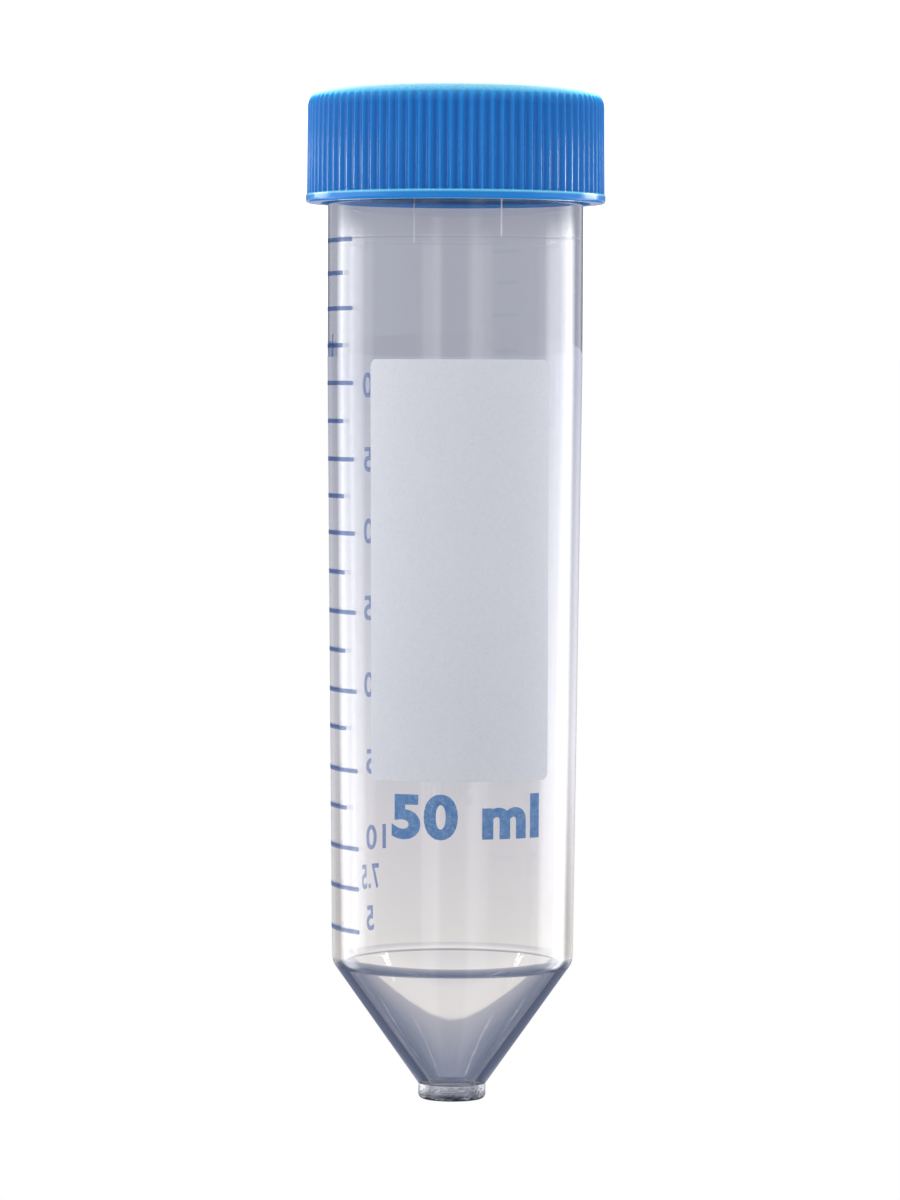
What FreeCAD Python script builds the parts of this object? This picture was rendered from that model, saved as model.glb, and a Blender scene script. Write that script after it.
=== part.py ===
import FreeCAD, Part
import math
import os

import Sketcher
from FreeCAD import Vector

# 50 ml conical tube with its screw cap, in millimetres.
# The closed tube stands upside down on the flat top of its cap: the origin is the centre of that
# face and +Z runs along the axis to the tip of the cone.  Each piece is drawn in its own frame,
# with its local origin on the axis at its lower end: the cap at its flat top, the tube at its rim.

DIMENSIONS = [
    # name, value, meaning
    ("tube_length", 115.0, "rim to tip, the length that racks and rotors are made for"),
    ("neck_diameter", 29.4, "outside of the straight part that shows below the cap"),
    ("tube_wall", 1.0, "wall of neck and body"),
    ("body_taper", 0.75, "how much the outside radius shrinks from the straight part to the cone"),
    ("straight_length", 29.0, "rim to where that taper starts"),
    ("cone_height", 14.2, "axial length of the cone outside"),
    ("corner_round", 2.4, "outside rounding between body and cone"),
    ("nub_diameter", 7.8, "outside of the round foot at the tip"),
    ("nub_height", 1.8, "axial length of that foot"),
    ("nub_round", 0.6, "rounding of the foot's edge"),
    ("gate_diameter", 3.2, "recess that the moulding gate leaves in the foot"),
    ("gate_depth", 0.5, "depth of that recess"),
    ("cone_wall_top", 0.95, "wall where the cone starts, square to its outside"),
    ("cone_wall_tip", 1.15, "wall at the end of the bore, square to the cone's outside"),
    ("cone_bore_curve", 400.0, "radius of the bore's gently dished side in the cone"),
    ("bore_tip_diameter", 4.8, "flat end of the bore"),
    ("bore_corner_round", 1.5, "inside rounding between body and cone"),
    ("bore_tip_round", 1.2, "inside rounding at the end of the bore"),
    ("rim_round", 0.3, "rounding of both edges of the rim"),
    ("neck_step", 0.25, "how much the wall is set in under the thread, on the radius"),
    ("neck_step_length", 0.4, "axial length of the slope between the two"),
    ("neck_gap", 0.2, "from the cap's open end to where the neck has its full size"),
    ("thread_pitch", 3.2, "single start, right hand"),
    ("thread_turns", 1.75, "length of the ridge in turns"),
    ("thread_height", 0.7, "ridge above the wall it stands on"),
    ("thread_root_width", 1.6, "width of the ridge at that wall"),
    ("thread_crest_width", 0.7, "width of the ridge at its crest"),
    ("thread_start", 2.4, "rim to the middle of the ridge where it begins"),
    ("thread_embed", 0.15, "how far the ridge reaches into the wall"),
    ("thread_clearance", 0.2, "from the ridge's crest to the cap's bore, on the radius"),
    ("cap_height", 13.0, "flat top to open end"),
    ("cap_top_wall", 1.5, "the tube's rim seats on the inner face of this wall"),
    ("cap_edge_round", 2.0, "rounded edge of the flat top"),
    ("skirt_wall", 1.8, "bore to the crests of the flutes, at the lip"),
    ("skirt_draft", 0.1, "how much smaller the crests' radius is at the flat top"),
    ("lip_height", 1.0, "smooth ring at the open end"),
    ("lip_overhang", 0.1, "lip beyond the crests, on the radius"),
    ("lip_round", 0.3, "rounding of the lip's edges"),
    ("flute_count", 90, "round-bottomed flutes around the skirt"),
    ("flute_radius", 0.52, "radius of a flute"),
    ("flute_depth", 0.32, "depth of a flute near the flat top"),
    ("seal_clearance", 0.1, "from the tube's bore to the plug seal, on the radius"),
    ("seal_thickness", 0.7, "wall of the plug seal"),
    ("seal_height", 2.6, "plug seal above the inner face of the top wall"),
    ("mouth_chamfer", 0.4, "lead-in at the cap's open end"),
]

# Sizes that follow from those, as expressions on the sheet.
BORE_DIAMETER = "(sizes.neck_diameter - 2 * sizes.tube_wall)"
THREAD_WALL_RADIUS = "(sizes.neck_diameter / 2 - sizes.neck_step)"
THREAD_CREST_RADIUS = f"({THREAD_WALL_RADIUS} + sizes.thread_height)"
NECK_START = "(sizes.cap_height - sizes.cap_top_wall + sizes.neck_gap)"
SHOULDER_RADIUS = "(sizes.neck_diameter / 2 - sizes.body_taper)"
CONE_START = "(sizes.tube_length - sizes.nub_height - sizes.cone_height)"
CONE_SLOPE = f"(({SHOULDER_RADIUS} - sizes.nub_diameter / 2) / sizes.cone_height)"
BODY_SLOPE = f"(sizes.body_taper / ({CONE_START} - sizes.straight_length))"

# A wall measured square to the cone is this much thicker along the radius.
SQUARE_TO_RADIAL = f"sqrt(1 + {CONE_SLOPE} ^ 2)"
# The bore turns into the cone where the body's wall and the cone's wall meet.
BORE_CORNER_HEIGHT = (
    f"({CONE_START} - (sizes.cone_wall_top * {SQUARE_TO_RADIAL} - sizes.tube_wall)"
    f" / ({CONE_SLOPE} - {BODY_SLOPE}))"
)
BORE_CORNER_RADIUS = (
    f"({SHOULDER_RADIUS} - sizes.tube_wall + {BODY_SLOPE} * ({CONE_START} - {BORE_CORNER_HEIGHT}))"
)
BORE_END = (
    f"({CONE_START} + ({SHOULDER_RADIUS} - sizes.cone_wall_tip * {SQUARE_TO_RADIAL}"
    f" - sizes.bore_tip_diameter / 2) / {CONE_SLOPE})"
)

CAP_BORE_RADIUS = f"({THREAD_CREST_RADIUS} + sizes.thread_clearance)"
CREST_RADIUS_LOW = f"({CAP_BORE_RADIUS} + sizes.skirt_wall)"
CREST_RADIUS_TOP = f"({CREST_RADIUS_LOW} - sizes.skirt_draft)"
LIP_RADIUS = f"({CREST_RADIUS_LOW} + sizes.lip_overhang)"
LIP_START = "(sizes.cap_height - sizes.lip_height)"
SEAL_DIAMETER = f"({BORE_DIAMETER} - 2 * sizes.seal_clearance)"


def make_sheet(doc):
    """The driving dimensions, one row each: name, value, meaning."""
    sheet = doc.addObject("Spreadsheet::Sheet", "sizes")
    for row, (name, value, meaning) in enumerate(DIMENSIONS, start=1):
        sheet.set(f"A{row}", name)
        sheet.set(f"B{row}", str(value))
        sheet.set(f"C{row}", meaning)
        sheet.setAlias(f"B{row}", name)
    doc.recompute()


def value_of(item, expression):
    """The number that an expression on the sheet gives."""
    return float(item.evalExpression(expression))


def attached_sketch(body, name, role, height=None):
    """A sketch on one of the body's origin planes, lifted along its normal by an expression."""
    plane = next(item for item in body.Origin.OriginFeatures if item.Role == role)
    sketch = body.newObject("Sketcher::SketchObject", name)
    sketch.AttachmentSupport = [(plane, "")]
    sketch.MapMode = "FlatFace"
    if height:
        sketch.setExpression("AttachmentOffset.Base.z", height)
    return sketch


def bind(sketch, expression, *constraint):
    """Adds a dimension to the sketch and ties it to the sheet."""
    index = sketch.addConstraint(Sketcher.Constraint(*constraint, value_of(sketch, expression)))
    sketch.setExpression(f"Constraints[{index}]", expression)


def side(start, end, bend):
    """One side of a section: a line, or an arc that bulges to the right of its way."""
    if not bend:
        return Part.LineSegment(start, end)
    chord = end - start
    sagitta = bend - math.sqrt(bend**2 - (chord.Length / 2) ** 2)
    right = Vector(chord.y, -chord.x, 0).normalize()
    return Part.Arc(start, (start + end) / 2 + right * sagitta, end)


def section(body, name, corners, bends=None):
    """A closed outline on the XZ plane.

    Each corner is a (radius, height) pair of expressions; bends gives an arc's radius for the
    side that leaves the corner of that number, and the other sides are straight.
    """
    bends = bends or {}
    sketch = attached_sketch(body, name, "XZ_Plane")
    points = [Vector(value_of(sketch, radius), value_of(sketch, height), 0) for radius, height in corners]
    starts, ends = [], []
    for index, point in enumerate(points):
        following = points[(index + 1) % len(points)]
        bend = value_of(sketch, bends[index]) if index in bends else None
        sketch.addGeometry(side(point, following, bend), False)
        forward = (sketch.Geometry[index].StartPoint - point).Length < 1e-6
        starts.append(1 if forward else 2)
        ends.append(2 if forward else 1)
    for index in range(len(points)):
        following = (index + 1) % len(points)
        sketch.addConstraint(
            Sketcher.Constraint("Coincident", index, ends[index], following, starts[following])
        )
    for index, (radius, height) in enumerate(corners):
        for expression, direction, axis in ((radius, "DistanceX", -2), (height, "DistanceY", -1)):
            if expression == "0":
                sketch.addConstraint(Sketcher.Constraint("PointOnObject", index, starts[index], axis))
            else:
                bind(sketch, expression, direction, -1, 1, index, starts[index])
    for index, radius in bends.items():
        bind(sketch, radius, "Radius", index)
    return sketch


def circles(body, name, diameters, height=None, distance=None):
    """Circles on a plane at the given height, about the axis or at a distance from it along X."""
    sketch = attached_sketch(body, name, "XY_Plane", height)
    centre = Vector(value_of(sketch, distance) if distance else 0, 0, 0)
    for index, diameter in enumerate(diameters):
        radius = value_of(sketch, diameter) / 2
        sketch.addGeometry(Part.Circle(centre, Vector(0, 0, 1), radius), False)
        bind(sketch, diameter, "Diameter", index)
        sketch.addConstraint(Sketcher.Constraint("PointOnObject", index, 3, -1))
        if distance:
            bind(sketch, distance, "DistanceX", -1, 1, index, 3)
        else:
            sketch.addConstraint(Sketcher.Constraint("PointOnObject", index, 3, -2))
    return sketch


def revolve(body, kind, name, sketch):
    """A full turn of a section about the axis: Revolution adds, Groove cuts."""
    feature = body.newObject(f"PartDesign::{kind}", name)
    feature.Profile = sketch
    feature.ReferenceAxis = (sketch, ["V_Axis"])
    feature.Angle = 360
    body.Document.recompute()


def extrude(body, kind, name, sketch, length, to_tip=True):
    """Pad or Pocket of a sketch along the axis, towards the tube's tip or away from it."""
    feature = body.newObject(f"PartDesign::{kind}", name)
    feature.Profile = sketch
    feature.setExpression("Length", length)
    feature.Reversed = to_tip == (kind == "Pocket")
    body.Document.recompute()
    return feature


def ring_edges(shape, radius, height, tolerance=0.005):
    """Names of the circular edges about the axis with this radius and height."""
    names = []
    for number, edge in enumerate(shape.Edges, start=1):
        if not isinstance(edge.Curve, Part.Circle):
            continue
        centre = edge.Curve.Center
        off = max(math.hypot(centre.x, centre.y), abs(centre.z - height), abs(edge.Curve.Radius - radius))
        if off < tolerance:
            names.append(f"Edge{number}")
    return names


def blend(body, kind, name, size, rings):
    """Fillet or Chamfer of the circular edges with the given (radius, height) expressions."""
    base = body.Tip
    edges = []
    for radius, height in rings:
        found = ring_edges(base.Shape, value_of(body, radius), value_of(body, height))
        if not found:
            raise RuntimeError(f"{name}: no edge at radius {radius}, height {height}")
        edges += found
    feature = body.newObject(f"PartDesign::{kind}", name)
    feature.Base = (base, edges)
    feature.setExpression("Radius" if kind == "Fillet" else "Size", size)
    body.Document.recompute()


def require_change(body, before, grows):
    """Stops the build if the last feature did not add or take away material."""
    after = body.Tip.Shape.Volume
    if after == before or (after > before) != grows:
        raise RuntimeError(f"{body.Tip.Label} changed the volume from {before:.1f} to {after:.1f}")
    return after


def cap_outside(body):
    """Flat top with its rounded edge, drafted skirt and smooth lip, still solid."""
    profile = section(body, "cap_section", [
        ("0", "0"),
        (CREST_RADIUS_TOP, "0"),
        (CREST_RADIUS_LOW, LIP_START),
        (LIP_RADIUS, LIP_START),
        (LIP_RADIUS, "sizes.cap_height"),
        ("0", "sizes.cap_height"),
    ])
    revolve(body, "Revolution", "cap_blank", profile)
    blend(body, "Fillet", "cap_edge", "sizes.cap_edge_round", [(CREST_RADIUS_TOP, "0")])


def cap_flutes(body):
    """Flutes that run out through the rounded edge and stop at the lip."""
    place = f"{CREST_RADIUS_TOP} + sizes.flute_radius - sizes.flute_depth"
    circle = circles(body, "flute_circle", ["2 * sizes.flute_radius"], distance=place)
    flute = extrude(body, "Pocket", "flute", circle, LIP_START)
    pattern = body.newObject("PartDesign::PolarPattern", "flutes")
    pattern.Originals = [flute]
    pattern.Axis = (circle, ["N_Axis"])
    pattern.Angle = 360
    pattern.setExpression("Occurrences", "sizes.flute_count")
    body.Tip = pattern
    body.Document.recompute()


def build_cap(doc):
    """Fluted screw cap, one moulding with its plug seal."""
    body = doc.addObject("PartDesign::Body", "cap")
    body.Label = "cap"
    cap_outside(body)
    volume = body.Tip.Shape.Volume
    cap_flutes(body)
    volume = require_change(body, volume, grows=False)

    bore = circles(body, "cap_bore_circle", [f"2 * {CAP_BORE_RADIUS}"], "sizes.cap_top_wall")
    extrude(body, "Pocket", "cap_bore", bore, "sizes.cap_height - sizes.cap_top_wall")
    volume = require_change(body, volume, grows=False)

    seal_bore = f"{SEAL_DIAMETER} - 2 * sizes.seal_thickness"
    seal = circles(body, "plug_seal_circles", [SEAL_DIAMETER, seal_bore], "sizes.cap_top_wall")
    extrude(body, "Pad", "plug_seal", seal, "sizes.seal_height")
    require_change(body, volume, grows=True)

    blend(body, "Fillet", "lip_edges", "sizes.lip_round", [
        (LIP_RADIUS, LIP_START),
        (LIP_RADIUS, "sizes.cap_height"),
    ])
    blend(body, "Chamfer", "cap_mouth", "sizes.mouth_chamfer", [(CAP_BORE_RADIUS, "sizes.cap_height")])
    return body


def tube_outside(body):
    """Thread zone, neck, tapered body, cone and foot, still solid."""
    tip_start = "sizes.tube_length - sizes.nub_height"
    profile = section(body, "tube_section", [
        ("0", "0"),
        (THREAD_WALL_RADIUS, "0"),
        (THREAD_WALL_RADIUS, f"{NECK_START} - sizes.neck_step_length"),
        ("sizes.neck_diameter / 2", NECK_START),
        ("sizes.neck_diameter / 2", "sizes.straight_length"),
        (SHOULDER_RADIUS, CONE_START),
        ("sizes.nub_diameter / 2", tip_start),
        ("sizes.nub_diameter / 2", "sizes.tube_length"),
        ("0", "sizes.tube_length"),
    ])
    revolve(body, "Revolution", "tube_blank", profile)
    blend(body, "Fillet", "corner", "sizes.corner_round", [(SHOULDER_RADIUS, CONE_START)])
    blend(body, "Fillet", "foot_edge", "sizes.nub_round", [("sizes.nub_diameter / 2", "sizes.tube_length")])


def tube_bore(body):
    """The bore: straight, tapered with the body, then dished in towards the tip."""
    tip_radius = "sizes.bore_tip_diameter / 2"
    profile = section(body, "bore_section", [
        ("0", "0"),
        (f"{BORE_DIAMETER} / 2", "0"),
        (f"{BORE_DIAMETER} / 2", "sizes.straight_length"),
        (BORE_CORNER_RADIUS, BORE_CORNER_HEIGHT),
        (tip_radius, BORE_END),
        ("0", BORE_END),
    ], bends={3: "sizes.cone_bore_curve"})
    revolve(body, "Groove", "bore", profile)
    blend(body, "Fillet", "bore_corner", "sizes.bore_corner_round", [(BORE_CORNER_RADIUS, BORE_CORNER_HEIGHT)])
    blend(body, "Fillet", "bore_tip", "sizes.bore_tip_round", [(tip_radius, BORE_END)])


def tube_thread(body):
    """The raised screw thread, a trapezoid carried round the neck."""
    root = f"{THREAD_WALL_RADIUS} - sizes.thread_embed"
    profile = section(body, "thread_section", [
        (root, "sizes.thread_start - sizes.thread_root_width / 2"),
        (THREAD_CREST_RADIUS, "sizes.thread_start - sizes.thread_crest_width / 2"),
        (THREAD_CREST_RADIUS, "sizes.thread_start + sizes.thread_crest_width / 2"),
        (root, "sizes.thread_start + sizes.thread_root_width / 2"),
    ])
    thread = body.newObject("PartDesign::AdditiveHelix", "thread")
    thread.Profile = profile
    thread.ReferenceAxis = (profile, ["V_Axis"])
    thread.Mode = "pitch-turns-angle"
    thread.setExpression("Pitch", "sizes.thread_pitch")
    thread.setExpression("Turns", "sizes.thread_turns")
    body.Document.recompute()


def build_tube(doc):
    """Clear conical tube, one moulding with its thread and foot."""
    body = doc.addObject("PartDesign::Body", "tube")
    body.Label = "tube"
    tube_outside(body)
    volume = body.Tip.Shape.Volume
    tube_bore(body)
    volume = require_change(body, volume, grows=False)

    blend(body, "Fillet", "rim_edges", "sizes.rim_round", [
        (THREAD_WALL_RADIUS, "0"),
        (f"{BORE_DIAMETER} / 2", "0"),
    ])
    gate = circles(body, "gate_circle", ["sizes.gate_diameter"], "sizes.tube_length")
    extrude(body, "Pocket", "gate_recess", gate, "sizes.gate_depth", to_tip=False)
    volume = require_change(body, volume, grows=False)

    tube_thread(body)
    require_change(body, volume, grows=True)
    body.setExpression("Placement.Base.z", "sizes.cap_top_wall")
    return body


def check(doc, bodies):
    """Every feature is computed, and every piece is one valid solid."""
    for item in doc.Objects:
        if "Invalid" in item.State or "Error" in item.State:
            raise RuntimeError(f"{item.Label} failed: {item.State}")
    for body in bodies:
        shape = body.Shape
        if shape.isNull() or not shape.isValid() or len(shape.Solids) != 1:
            raise RuntimeError(f"{body.Label} is not one valid solid")


def main():
    doc = FreeCAD.newDocument("conical_tube")
    make_sheet(doc)
    bodies = [build_cap(doc), build_tube(doc)]
    doc.recompute()
    check(doc, bodies)
    os.makedirs("parts", exist_ok=True)
    for body in bodies:
        body.Shape.exportStep(f"parts/{body.Label}.step")
        box = body.Shape.BoundBox
        print(f"{body.Label}: volume {body.Shape.Volume:.1f} mm3, z {box.ZMin:.3f} to {box.ZMax:.3f}")


main()
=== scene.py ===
"""Looks of the 50 ml conical tube and its screw cap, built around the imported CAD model.

Sizes are written in millimetres and turned into metres where a mesh is made.  The frame is the
CAD's: the closed tube stands on the flat top of its cap, and +Z runs up to the tip of the cone.
Angles round the tube are counted from the front (-Y) towards +X.
"""
import math

import bmesh
import bpy
import numpy as np
from mathutils import Matrix, Vector


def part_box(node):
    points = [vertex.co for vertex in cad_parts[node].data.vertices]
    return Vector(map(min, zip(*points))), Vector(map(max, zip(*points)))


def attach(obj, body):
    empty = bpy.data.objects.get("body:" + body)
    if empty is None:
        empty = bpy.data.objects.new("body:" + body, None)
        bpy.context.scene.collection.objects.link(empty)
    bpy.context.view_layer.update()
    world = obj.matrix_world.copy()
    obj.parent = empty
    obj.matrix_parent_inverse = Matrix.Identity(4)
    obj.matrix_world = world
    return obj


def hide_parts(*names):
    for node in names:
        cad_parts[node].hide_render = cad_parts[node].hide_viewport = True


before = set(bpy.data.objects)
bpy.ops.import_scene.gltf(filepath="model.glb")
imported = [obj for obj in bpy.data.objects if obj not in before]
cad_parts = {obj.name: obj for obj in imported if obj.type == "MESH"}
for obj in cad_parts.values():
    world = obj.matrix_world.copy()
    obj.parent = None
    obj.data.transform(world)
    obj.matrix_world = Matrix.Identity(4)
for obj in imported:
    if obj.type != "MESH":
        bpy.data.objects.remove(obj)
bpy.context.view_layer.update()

MM = 0.001
CAP_LOW, CAP_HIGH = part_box("cap")
TUBE_LOW, TUBE_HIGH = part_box("tube")
CAP_HEIGHT = (CAP_HIGH.z - CAP_LOW.z) / MM
TUBE_LENGTH = (TUBE_HIGH.z - TUBE_LOW.z) / MM
SEAT = TUBE_LOW.z / MM                 # height of the tube's rim
LIP_RADIUS = CAP_HIGH.x / MM

# tube, heights counted from its rim
NECK_RADIUS = 14.7
THREAD_WALL_RADIUS = 14.45
NECK_START = CAP_HEIGHT - SEAT - 0.5
NECK_STEP = 2.6                        # length of the slope from the thread's wall to the neck
STRAIGHT_END = 29.0
SHOULDER_RADIUS = 13.95
SHOULDER_ROUND = 2.4
FOOT_RADIUS = 3.9
FOOT_ROUND = 0.6
FOOT_START = TUBE_LENGTH - 1.8
CONE_START = FOOT_START - 14.2
GATE_RADIUS = 1.6                      # the moulding gate's recess in the foot
GATE_DEPTH = 0.5
RIM_ROUND = 0.3
WALL = 1.0
CONE_WALL_TOP = 0.95
CONE_WALL_TIP = 1.15
BORE_CURVE = 400.0                     # radius of the dished side of the bore's cone
BORE_CURVE_ROWS = 30
BORE_CORNER_ROUND = 1.5
BORE_TIP_RADIUS = 2.4
BORE_TIP_ROUND = 1.2
BORE_RADIUS = NECK_RADIUS - WALL
THREAD_PITCH = 3.2
THREAD_TURNS = 1.75
THREAD_HEIGHT = 0.7
THREAD_START = 2.4
RIDGE_CREST = 0.35                     # half widths of a thread ridge
RIDGE_ROOT = 0.72
SEAM_ANGLES = (-20.5, 159.5)           # where the halves of the neck's mould met
SEAM_HEIGHT = 0.03
SEAM_HALF_ANGLE = 0.3
RING_HEIGHT = 15.65                    # where the neck's mould met the body's
RING_RISE = 0.003
RING_HALF_WIDTH = 0.12
RING_ROWS = 0.16                       # the rows that carry the ring reach this far to both sides
TUBE_STEPS = 256                       # steps round the tube

# cap
CAP_BORE_RADIUS = 15.35
MOUTH_CHAMFER = 0.4
SKIRT_LOW = LIP_RADIUS - 0.1           # the flutes' crests at the lip, and at the flat top
SKIRT_TOP = SKIRT_LOW - 0.1
LIP_START = CAP_HEIGHT - 1.0
LIP_ROUND = 0.3
LIP_STEP_ROUND = 0.09
EDGE_ROUND = 2.0
FLUTES = 90
FLUTE_RADIUS = 0.52
FLUTE_CENTRE = SKIRT_TOP + 0.2
CREST_ROUND = 0.18
SEAL_OUTER = BORE_RADIUS - 0.1
SEAL_INNER = SEAL_OUTER - 0.7
SEAL_TOP = SEAT + 2.6
SEAL_ROUND = 0.25
CAP_THREAD_START = THREAD_START + 1.5 * THREAD_PITCH
CAP_THREAD_TURNS = 1.5
CAP_THREAD_HEIGHT = 0.6
CAP_RIDGE_CREST = 0.25
CAP_RIDGE_ROOT = 0.6
COARSE_STEP = 7                        # rows without flutes use every seventh of the flutes' angles

# rounded corners
ARC_STEP = 0.12
ARC_LEAST, ARC_MOST = 4, 14


# ---------------------------------------------------------------- outlines

def corner_arc(before, corner, after, radius, steps):
    """Points and right-hand normals of the arc that rounds a corner."""
    before, corner, after = (np.array(p, float) for p in (before, corner, after))
    back = (before - corner) / np.linalg.norm(before - corner)
    ahead = (after - corner) / np.linalg.norm(after - corner)
    half = math.acos(np.clip(back @ ahead, -1, 1)) / 2
    middle = (back + ahead) / np.linalg.norm(back + ahead)
    centre = corner + middle * radius / math.sin(half)
    first = corner + back * radius / math.tan(half)
    last = corner + ahead * radius / math.tan(half)
    start = math.atan2(*(first - centre)[::-1])
    turn = (math.atan2(*(last - centre)[::-1]) - start + math.pi) % (2 * math.pi) - math.pi
    side = 1 if turn > 0 else -1
    points = []
    for step in range(steps + 1):
        angle = start + turn * step / steps
        ray = np.array([math.cos(angle), math.sin(angle)])
        points.append((centre + ray * radius, ray * side))
    return points


def outline(corners):
    """Rows (radius, height, normal before, normal after, relief) along a section.

    A corner is (radius, height, rounding, relief, spacing): relief marks the side that leaves the
    corner as one that a height function raises, and spacing asks for rows that close along it.
    """
    count = len(corners)
    parts = []
    for index, (r, z, rounding, *_) in enumerate(corners):
        if rounding:
            steps = min(max(ARC_LEAST, int(math.ceil(rounding / ARC_STEP))), ARC_MOST)
            parts.append(corner_arc(corners[index - 1][:2], (r, z), corners[(index + 1) % count][:2],
                                    rounding, steps))
        else:
            parts.append([(np.array([r, z], float), None)])
    rows = []
    for index, part in enumerate(parts):
        relief, spacing = corners[index][3], corners[index][4]
        leaving = parts[(index + 1) % count][0][0] - part[-1][0]
        arriving = part[0][0] - parts[index - 1][-1][0]
        for number, (point, normal) in enumerate(part):
            enter = leave = normal
            if normal is None:
                enter, leave = right_of(arriving), right_of(leaving)
            rows.append([point[0], point[1], enter, leave, relief and number == len(part) - 1])
        if relief or spacing:
            length = np.linalg.norm(leaving)
            pieces = max(1, int(round(length / spacing)))
            side = right_of(leaving)
            for step in range(1, pieces):
                point = part[-1][0] + leaving * step / pieces
                rows.append([point[0], point[1], side, side, relief])
    return rows


def right_of(way):
    """Unit vector to the right of a way in the section's plane."""
    length = np.linalg.norm(way)
    return np.array([way[1], -way[0]]) / length if length > 1e-9 else np.array([0.0, 0.0])


# ---------------------------------------------------------------- turned meshes

def lathe(name, rows, angles, height=None, coarse=None, step=1):
    """A closed turned mesh in metres, with exact normals.

    rows go along the section with the air on their right.  height(angles, z, r) moves the rows
    marked for relief outwards.  Rows for which coarse(row index) holds use every step-th angle,
    and flat many-sided faces join them to the full rows.
    """
    angles = np.asarray(angles)
    grids = []
    for number, (r, z, _enter, _leave, relief) in enumerate(rows):
        own = angles[::step] if coarse and coarse(number) else angles
        if r < 1e-6:
            own = angles[:1]
        radius = np.full(len(own), float(r))
        raised = relief or (number and rows[number - 1][4])
        if raised and height:
            radius = radius + height(own, z, r)
        grids.append((own, radius, z, bool(raised and height)))

    def place(grid):
        own, radius, z, _ = grid
        return np.stack([radius * np.sin(own), -radius * np.cos(own), np.full(len(own), z)], axis=1)

    points = [place(grid) for grid in grids]
    starts = np.cumsum([0] + [len(p) for p in points])

    def normals(number, other, profile):
        """Normals of a row as seen from the side towards the row called other."""
        own, _radius, _z, raised = grids[number]
        flat = np.stack([profile[0] * np.sin(own), -profile[0] * np.cos(own),
                         np.full(len(own), profile[1])], axis=1)
        if not raised or not grids[other][3] or len(points[other]) != len(own):
            return flat
        around = np.roll(points[number], -1, axis=0) - np.roll(points[number], 1, axis=0)
        far = 2 * number - other
        smooth = (0 <= far < len(rows) and grids[far][3] and len(points[far]) == len(own)
                  and np.allclose(rows[number][2], rows[number][3], atol=0.02))
        along = points[other] - (points[far] if smooth else points[number])
        if other < number:
            along = -along
        exact = np.cross(around, along)
        return exact / np.linalg.norm(exact, axis=1)[:, None]

    faces, loops = [], []
    for k in range(len(rows) - 1):
        a, b = starts[k], starts[k + 1]
        m, n = len(points[k]), len(points[k + 1])
        if m == 1 and n == 1:
            continue
        low = normals(k, k + 1, rows[k][3])
        high = normals(k + 1, k, rows[k + 1][2])
        for j in range(max(m, n) if min(m, n) == 1 or m == n else min(m, n)):
            if m == n:
                j2 = (j + 1) % m
                faces.append([a + j, a + j2, b + j2, b + j])
                loops += [low[j], low[j2], high[j2], high[j]]
            elif n == 1:
                j2 = (j + 1) % m
                faces.append([a + j, a + j2, b])
                loops += [low[j], low[j2], high[0]]
            elif m == 1:
                j2 = (j + 1) % n
                faces.append([a, b + j2, b + j])
                loops += [low[0], high[j2], high[j]]
            elif m > n:
                fine = [(j * step + i) % m for i in range(step + 1)]
                j2 = (j + 1) % n
                faces.append([a + i for i in fine] + [b + j2, b + j])
                loops += [low[i] for i in fine] + [high[j2], high[j]]
            else:
                fine = [(j * step + i) % n for i in range(step, -1, -1)]
                j2 = (j + 1) % m
                faces.append([a + j, a + j2] + [b + i for i in fine])
                loops += [low[j], low[j2]] + [high[i] for i in fine]

    last = starts[-2]
    if len(points[-1]) == len(points[0]) > 1:      # a closed section: the last row is the first
        faces = [[v - last if v >= last else v for v in face] for face in faces]
        points = points[:-1]
    mesh = bpy.data.meshes.new(name)
    mesh.from_pydata([tuple(p * MM) for row in points for p in row], [], faces)
    mesh.polygons.foreach_set("use_smooth", [True] * len(mesh.polygons))
    mesh.normals_split_custom_set([tuple(normal) for normal in loops])
    piece = bpy.data.objects.new(name, mesh)
    bpy.context.scene.collection.objects.link(piece)
    return piece


# ---------------------------------------------------------------- heights on the walls

def ramp(value, low, high):
    """0 up to low, 1 from high on, and straight in between."""
    return np.clip((value - low) / (high - low), 0, 1)


def screw_ridge(angles, z, start, turns, height, crest, root):
    """Height of a right-hand ridge whose middle starts at height start, in front of +X."""
    turned = (angles - math.pi / 2) % (2 * math.pi)
    best = np.zeros_like(angles)
    for lap in range(int(math.ceil(turns)) + 1):
        total = (turned + 2 * math.pi * lap) / (2 * math.pi)
        away = np.abs(z - (start + THREAD_PITCH * total))
        ends = ramp(total, 0.0, 0.05) * ramp(turns - total, 0.0, 0.05)
        best = np.maximum(best, height * ends * (1 - ramp(away, crest, root)))
    return best


def tube_relief(angles, z, _r):
    """Thread, mould seams and mould ring of the neck, in millimetres."""
    h = screw_ridge(angles, z, SEAT + THREAD_START, THREAD_TURNS, THREAD_HEIGHT, RIDGE_CREST, RIDGE_ROOT)
    local = z - SEAT
    if local > NECK_START - 0.01:
        for seam in SEAM_ANGLES:
            off = (angles - math.radians(seam) + math.pi) % (2 * math.pi) - math.pi
            near = np.clip(1 - np.abs(off) / math.radians(SEAM_HALF_ANGLE), 0, 1)
            h = h + SEAM_HEIGHT * near * (local < RING_HEIGHT)
        h = h + RING_RISE * np.clip(1 - abs(local - RING_HEIGHT) / RING_HALF_WIDTH, 0, 1)
    return h


def softer(a, b, width):
    """The lesser of two, with the corner between them rounded."""
    mix = np.clip(0.5 + 0.5 * (b - a) / width, 0, 1)
    return b * (1 - mix) + a * mix - width * mix * (1 - mix)


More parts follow.
